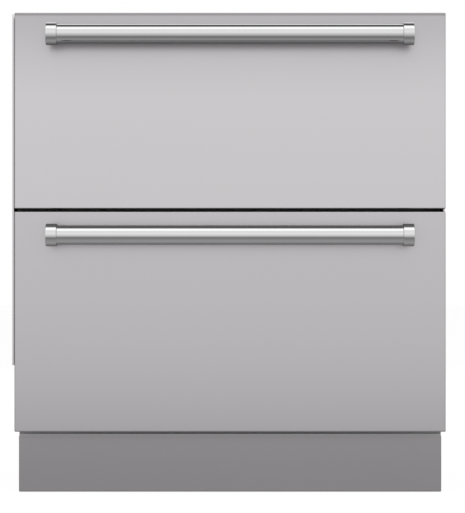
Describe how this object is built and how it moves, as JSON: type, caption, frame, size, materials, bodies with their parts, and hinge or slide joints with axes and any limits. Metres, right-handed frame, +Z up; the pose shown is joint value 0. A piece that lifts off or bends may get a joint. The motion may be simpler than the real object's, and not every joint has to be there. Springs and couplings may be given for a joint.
{
  "type": "undercounter drawer refrigerator",
  "caption": "Undercounter refrigerator with stacked insulated stainless drawers, round bar handles, ball slides and a recessed toe kick.",
  "frame": {"origin": "on the floor under the middle of the whole object, levelling legs run in", "axes": "front faces -Y, +X to the right seen from the front, +Z up"},
  "size_m": [0.762, 0.6734, 0.848],
  "materials": {
    "satin_stainless": "satin",
    "polished_handle": "polished",
    "zinc_sheet": "satin",
    "dark_enamel": "satin",
    "white_liner": "satin",
    "front_shell": "satin",
    "bin_plastic": "satin",
    "foam": "matte",
    "gasket_vinyl": "matte",
    "rubber_mount": "matte",
    "lens": "satin",
    "grey_plastic": "satin",
    "black_plastic": "satin",
    "white_blade": "satin",
    "black_enamel": "gloss",
    "aluminium_fins": "satin",
    "copper": "satin",
    "ball_steel": "polished",
    "zinc_leg": "satin"
  },
  "bodies": {
    "cabinet": {"cabinet_wrapper": "dark_enamel", "cabinet_back": "zinc_sheet", "face_frame": "dark_enamel", "cabinet_liner": "white_liner", "cabinet_foam": "foam", "left_side_trim": "satin_stainless", "right_side_trim": "satin_stainless", "control_housing": "grey_plastic", "light_lenses": "lens", "evaporator": "aluminium_fins", "upper_air_cover": "white_liner", "lower_air_cover": "white_liner", "evaporator_fan_motor": "grey_plastic", "upper_slide_rails": "zinc_sheet", "lower_slide_rails": "zinc_sheet", "base_chassis": "zinc_sheet", "rear_cover": "zinc_sheet", "compressor": "black_enamel", "compressor_mounts": "rubber_mount", "condenser": "black_enamel", "fan_shroud": "grey_plastic", "condenser_fan_motor": "black_plastic", "drain_pan": "black_plastic", "refrigerant_tubing": "copper", "toe_kick": "satin_stainless", "toe_kick_clips": "zinc_sheet", "power_inlet": "black_plastic"},
    "upper_drawer": {"upper_panel": "satin_stainless", "upper_front": "front_shell", "upper_front_liner": "white_liner", "upper_gasket": "gasket_vinyl", "upper_bin": "bin_plastic", "upper_carriers": "zinc_sheet", "upper_handle_bar": "polished_handle", "upper_handle_brackets": "polished_handle", "upper_handle_screws": "zinc_sheet"},
    "lower_drawer": {"lower_panel": "satin_stainless", "lower_front": "front_shell", "lower_front_liner": "white_liner", "lower_gasket": "gasket_vinyl", "lower_bin": "bin_plastic", "lower_carriers": "zinc_sheet", "lower_handle_bar": "polished_handle", "lower_handle_brackets": "polished_handle", "lower_handle_screws": "zinc_sheet"},
    "upper_middles": {"upper_slide_middles": "zinc_sheet"},
    "upper_outer_balls": {"upper_outer_cages": "ball_steel"},
    "upper_inner_balls": {"upper_inner_cages": "ball_steel"},
    "lower_middles": {"lower_slide_middles": "zinc_sheet"},
    "lower_outer_balls": {"lower_outer_cages": "ball_steel"},
    "lower_inner_balls": {"lower_inner_cages": "ball_steel"},
    "condenser_fan": {"condenser_fan": "white_blade"},
    "evaporator_fan": {"evaporator_fan": "black_plastic"},
    "power_button": {"power_button": "black_plastic"},
    "colder_button": {"colder_button": "black_plastic"},
    "warmer_button": {"warmer_button": "black_plastic"},
    "front_left_leg": {"front_left_leg": "zinc_leg"},
    "front_right_leg": {"front_right_leg": "zinc_leg"},
    "rear_left_leg": {"rear_left_leg": "zinc_leg"},
    "rear_right_leg": {"rear_right_leg": "zinc_leg"}
  },
  "joints": [
    {"name": "upper_drawer_slide", "type": "slide", "parent": "cabinet", "child": "upper_drawer", "axis": [0, -1, 0], "range_m": [0, 0.4]},
    {"name": "upper_middles_slide", "type": "slide", "parent": "cabinet", "child": "upper_middles", "axis": [0, -1, 0], "range_m": [0, 0.2]},
    {"name": "upper_outer_balls_slide", "type": "slide", "parent": "cabinet", "child": "upper_outer_balls", "axis": [0, -1, 0], "range_m": [0, 0.1]},
    {"name": "upper_inner_balls_slide", "type": "slide", "parent": "cabinet", "child": "upper_inner_balls", "axis": [0, -1, 0], "range_m": [0, 0.3]},
    {"name": "lower_drawer_slide", "type": "slide", "parent": "cabinet", "child": "lower_drawer", "axis": [0, -1, 0], "range_m": [0, 0.4]},
    {"name": "lower_middles_slide", "type": "slide", "parent": "cabinet", "child": "lower_middles", "axis": [0, -1, 0], "range_m": [0, 0.2]},
    {"name": "lower_outer_balls_slide", "type": "slide", "parent": "cabinet", "child": "lower_outer_balls", "axis": [0, -1, 0], "range_m": [0, 0.1]},
    {"name": "lower_inner_balls_slide", "type": "slide", "parent": "cabinet", "child": "lower_inner_balls", "axis": [0, -1, 0], "range_m": [0, 0.3]},
    {"name": "condenser_fan_spin", "type": "hinge", "parent": "cabinet", "child": "condenser_fan", "pos_m": [0.12, -0.09925, 0.11], "axis": [0, 1, 0], "continuous": true},
    {"name": "evaporator_fan_spin", "type": "hinge", "parent": "cabinet", "child": "evaporator_fan", "pos_m": [0, 0.23925, 0.741], "axis": [0, 1, 0], "continuous": true},
    {"name": "power_press", "type": "slide", "parent": "cabinet", "child": "power_button", "axis": [0, 1, 0], "range_m": [0, 0.001], "stiffness_N_per_m": 300},
    {"name": "colder_press", "type": "slide", "parent": "cabinet", "child": "colder_button", "axis": [0, 1, 0], "range_m": [0, 0.001], "stiffness_N_per_m": 300},
    {"name": "warmer_press", "type": "slide", "parent": "cabinet", "child": "warmer_button", "axis": [0, 1, 0], "range_m": [0, 0.001], "stiffness_N_per_m": 300},
    {"name": "front_left_leg_run", "type": "slide", "parent": "cabinet", "child": "front_left_leg", "axis": [0, 0, -1], "range_m": [0, 0.025]},
    {"name": "front_right_leg_run", "type": "slide", "parent": "cabinet", "child": "front_right_leg", "axis": [0, 0, -1], "range_m": [0, 0.025]},
    {"name": "rear_left_leg_run", "type": "slide", "parent": "cabinet", "child": "rear_left_leg", "axis": [0, 0, -1], "range_m": [0, 0.025]},
    {"name": "rear_right_leg_run", "type": "slide", "parent": "cabinet", "child": "rear_right_leg", "axis": [0, 0, -1], "range_m": [0, 0.025]}
  ],
  "couplings": [
    {"joint": "upper_middles_slide", "follows": "upper_drawer_slide", "ratio": 0.5},
    {"joint": "upper_outer_balls_slide", "follows": "upper_drawer_slide", "ratio": 0.25},
    {"joint": "upper_inner_balls_slide", "follows": "upper_drawer_slide", "ratio": 0.75},
    {"joint": "lower_middles_slide", "follows": "lower_drawer_slide", "ratio": 0.5},
    {"joint": "lower_outer_balls_slide", "follows": "lower_drawer_slide", "ratio": 0.25},
    {"joint": "lower_inner_balls_slide", "follows": "lower_drawer_slide", "ratio": 0.75}
  ]
}
